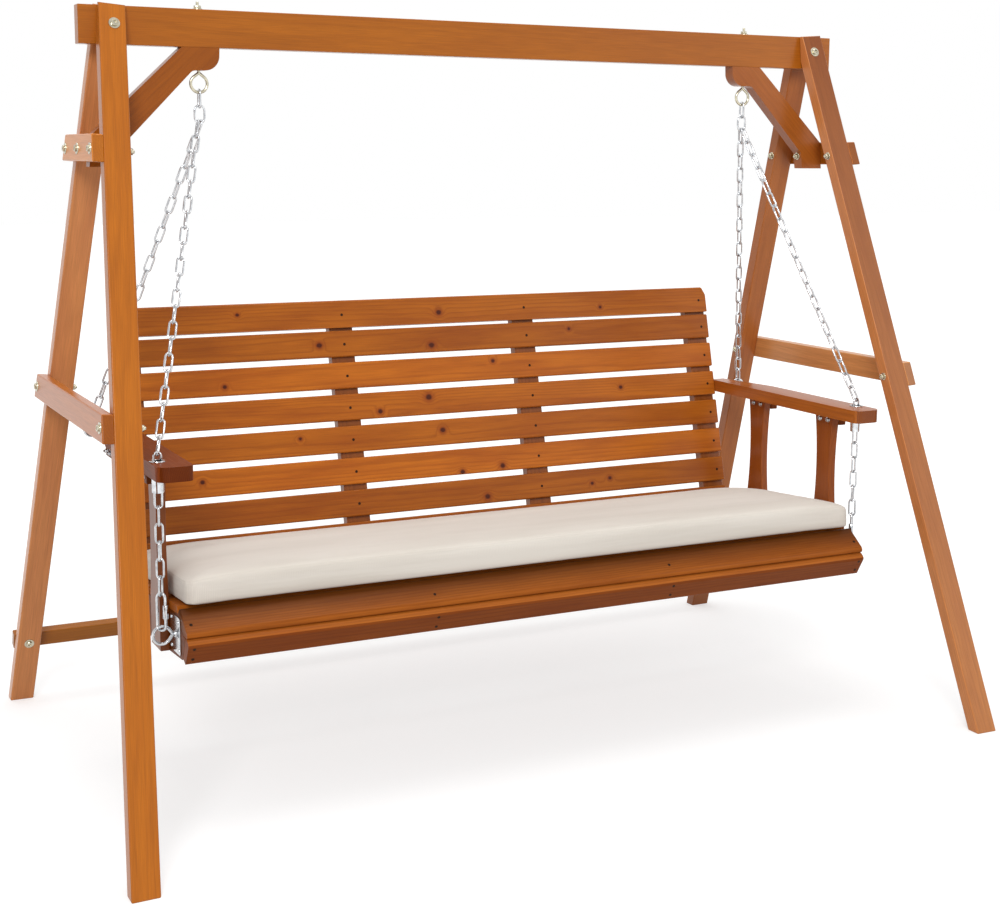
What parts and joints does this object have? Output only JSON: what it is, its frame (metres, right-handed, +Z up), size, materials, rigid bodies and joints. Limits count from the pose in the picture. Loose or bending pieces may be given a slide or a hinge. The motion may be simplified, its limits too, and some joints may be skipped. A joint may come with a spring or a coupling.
{
  "type": "porch swing with stand",
  "caption": "Wooden slatted porch swing bench with a seat cushion, hung on chains from the beam of a freestanding timber A-frame stand.",
  "frame": {"origin": "on the floor, under the middle of the top beam", "axes": "+X along the beam to the right as seen from the front, +Y to the back of the bench, +Z up"},
  "size_m": [2.237, 1.366, 1.8],
  "materials": {
    "stand_wood": "satin stain",
    "yellow_zinc": "yellow zinc plated",
    "bench_wood": "satin stain",
    "bright_zinc": "bright zinc plated",
    "cushion_cover": "woven, matt"
  },
  "bodies": {
    "stand": {"top_beam": "stand_wood", "rear_stretcher": "stand_wood", "leg_front_left": "stand_wood", "leg_front_right": "stand_wood", "leg_rear_left": "stand_wood", "leg_rear_right": "stand_wood", "upper_side_bar_left": "stand_wood", "upper_side_bar_right": "stand_wood", "middle_side_bar_left": "stand_wood", "middle_side_bar_right": "stand_wood", "knee_brace_left": "stand_wood", "knee_brace_right": "stand_wood", "top_eye_bolt_left": "yellow_zinc", "top_eye_bolt_right": "yellow_zinc"},
    "swing": {"seat_slat_1": "bench_wood", "seat_slat_2": "bench_wood", "seat_slat_3": "bench_wood", "seat_slat_4": "bench_wood", "seat_slat_5": "bench_wood", "seat_slat_6": "bench_wood", "back_slat_1": "bench_wood", "back_slat_2": "bench_wood", "back_slat_3": "bench_wood", "back_slat_4": "bench_wood", "back_slat_5": "bench_wood", "back_slat_6": "bench_wood", "back_slat_7": "bench_wood", "back_slat_8": "bench_wood", "front_roll_slat": "bench_wood", "front_fascia": "bench_wood", "seat_support_end_left": "bench_wood", "seat_support_end_right": "bench_wood", "seat_support_middle_left": "bench_wood", "seat_support_middle_right": "bench_wood", "back_stile_end_left": "bench_wood", "back_stile_end_right": "bench_wood", "back_stile_middle_left": "bench_wood", "back_stile_middle_right": "bench_wood", "arm_post_front_left": "bench_wood", "arm_post_front_right": "bench_wood", "arm_post_rear_left": "bench_wood", "arm_post_rear_right": "bench_wood", "arm_cleats_left": "bench_wood", "arm_cleats_right": "bench_wood", "armrest_left": "bench_wood", "armrest_right": "bench_wood", "arm_sleeve_left": "bright_zinc", "arm_sleeve_right": "bright_zinc", "seat_eye_and_plate_left": "bright_zinc", "seat_eye_and_plate_right": "bright_zinc", "rear_eye_bolt_left": "bright_zinc", "rear_eye_bolt_right": "bright_zinc", "front_chain_left": "bright_zinc", "front_chain_right": "bright_zinc", "front_chain_lower_left": "bright_zinc", "front_chain_lower_right": "bright_zinc", "rear_chain_left": "bright_zinc", "rear_chain_right": "bright_zinc", "seat_cushion": "cushion_cover"}
  },
  "joints": [
    {"name": "swing_pivot", "type": "hinge", "parent": "stand", "child": "swing", "pos_m": [0, 0, 1.597], "axis": [1, 0, 0], "range_deg": [-20, 20]}
  ]
}
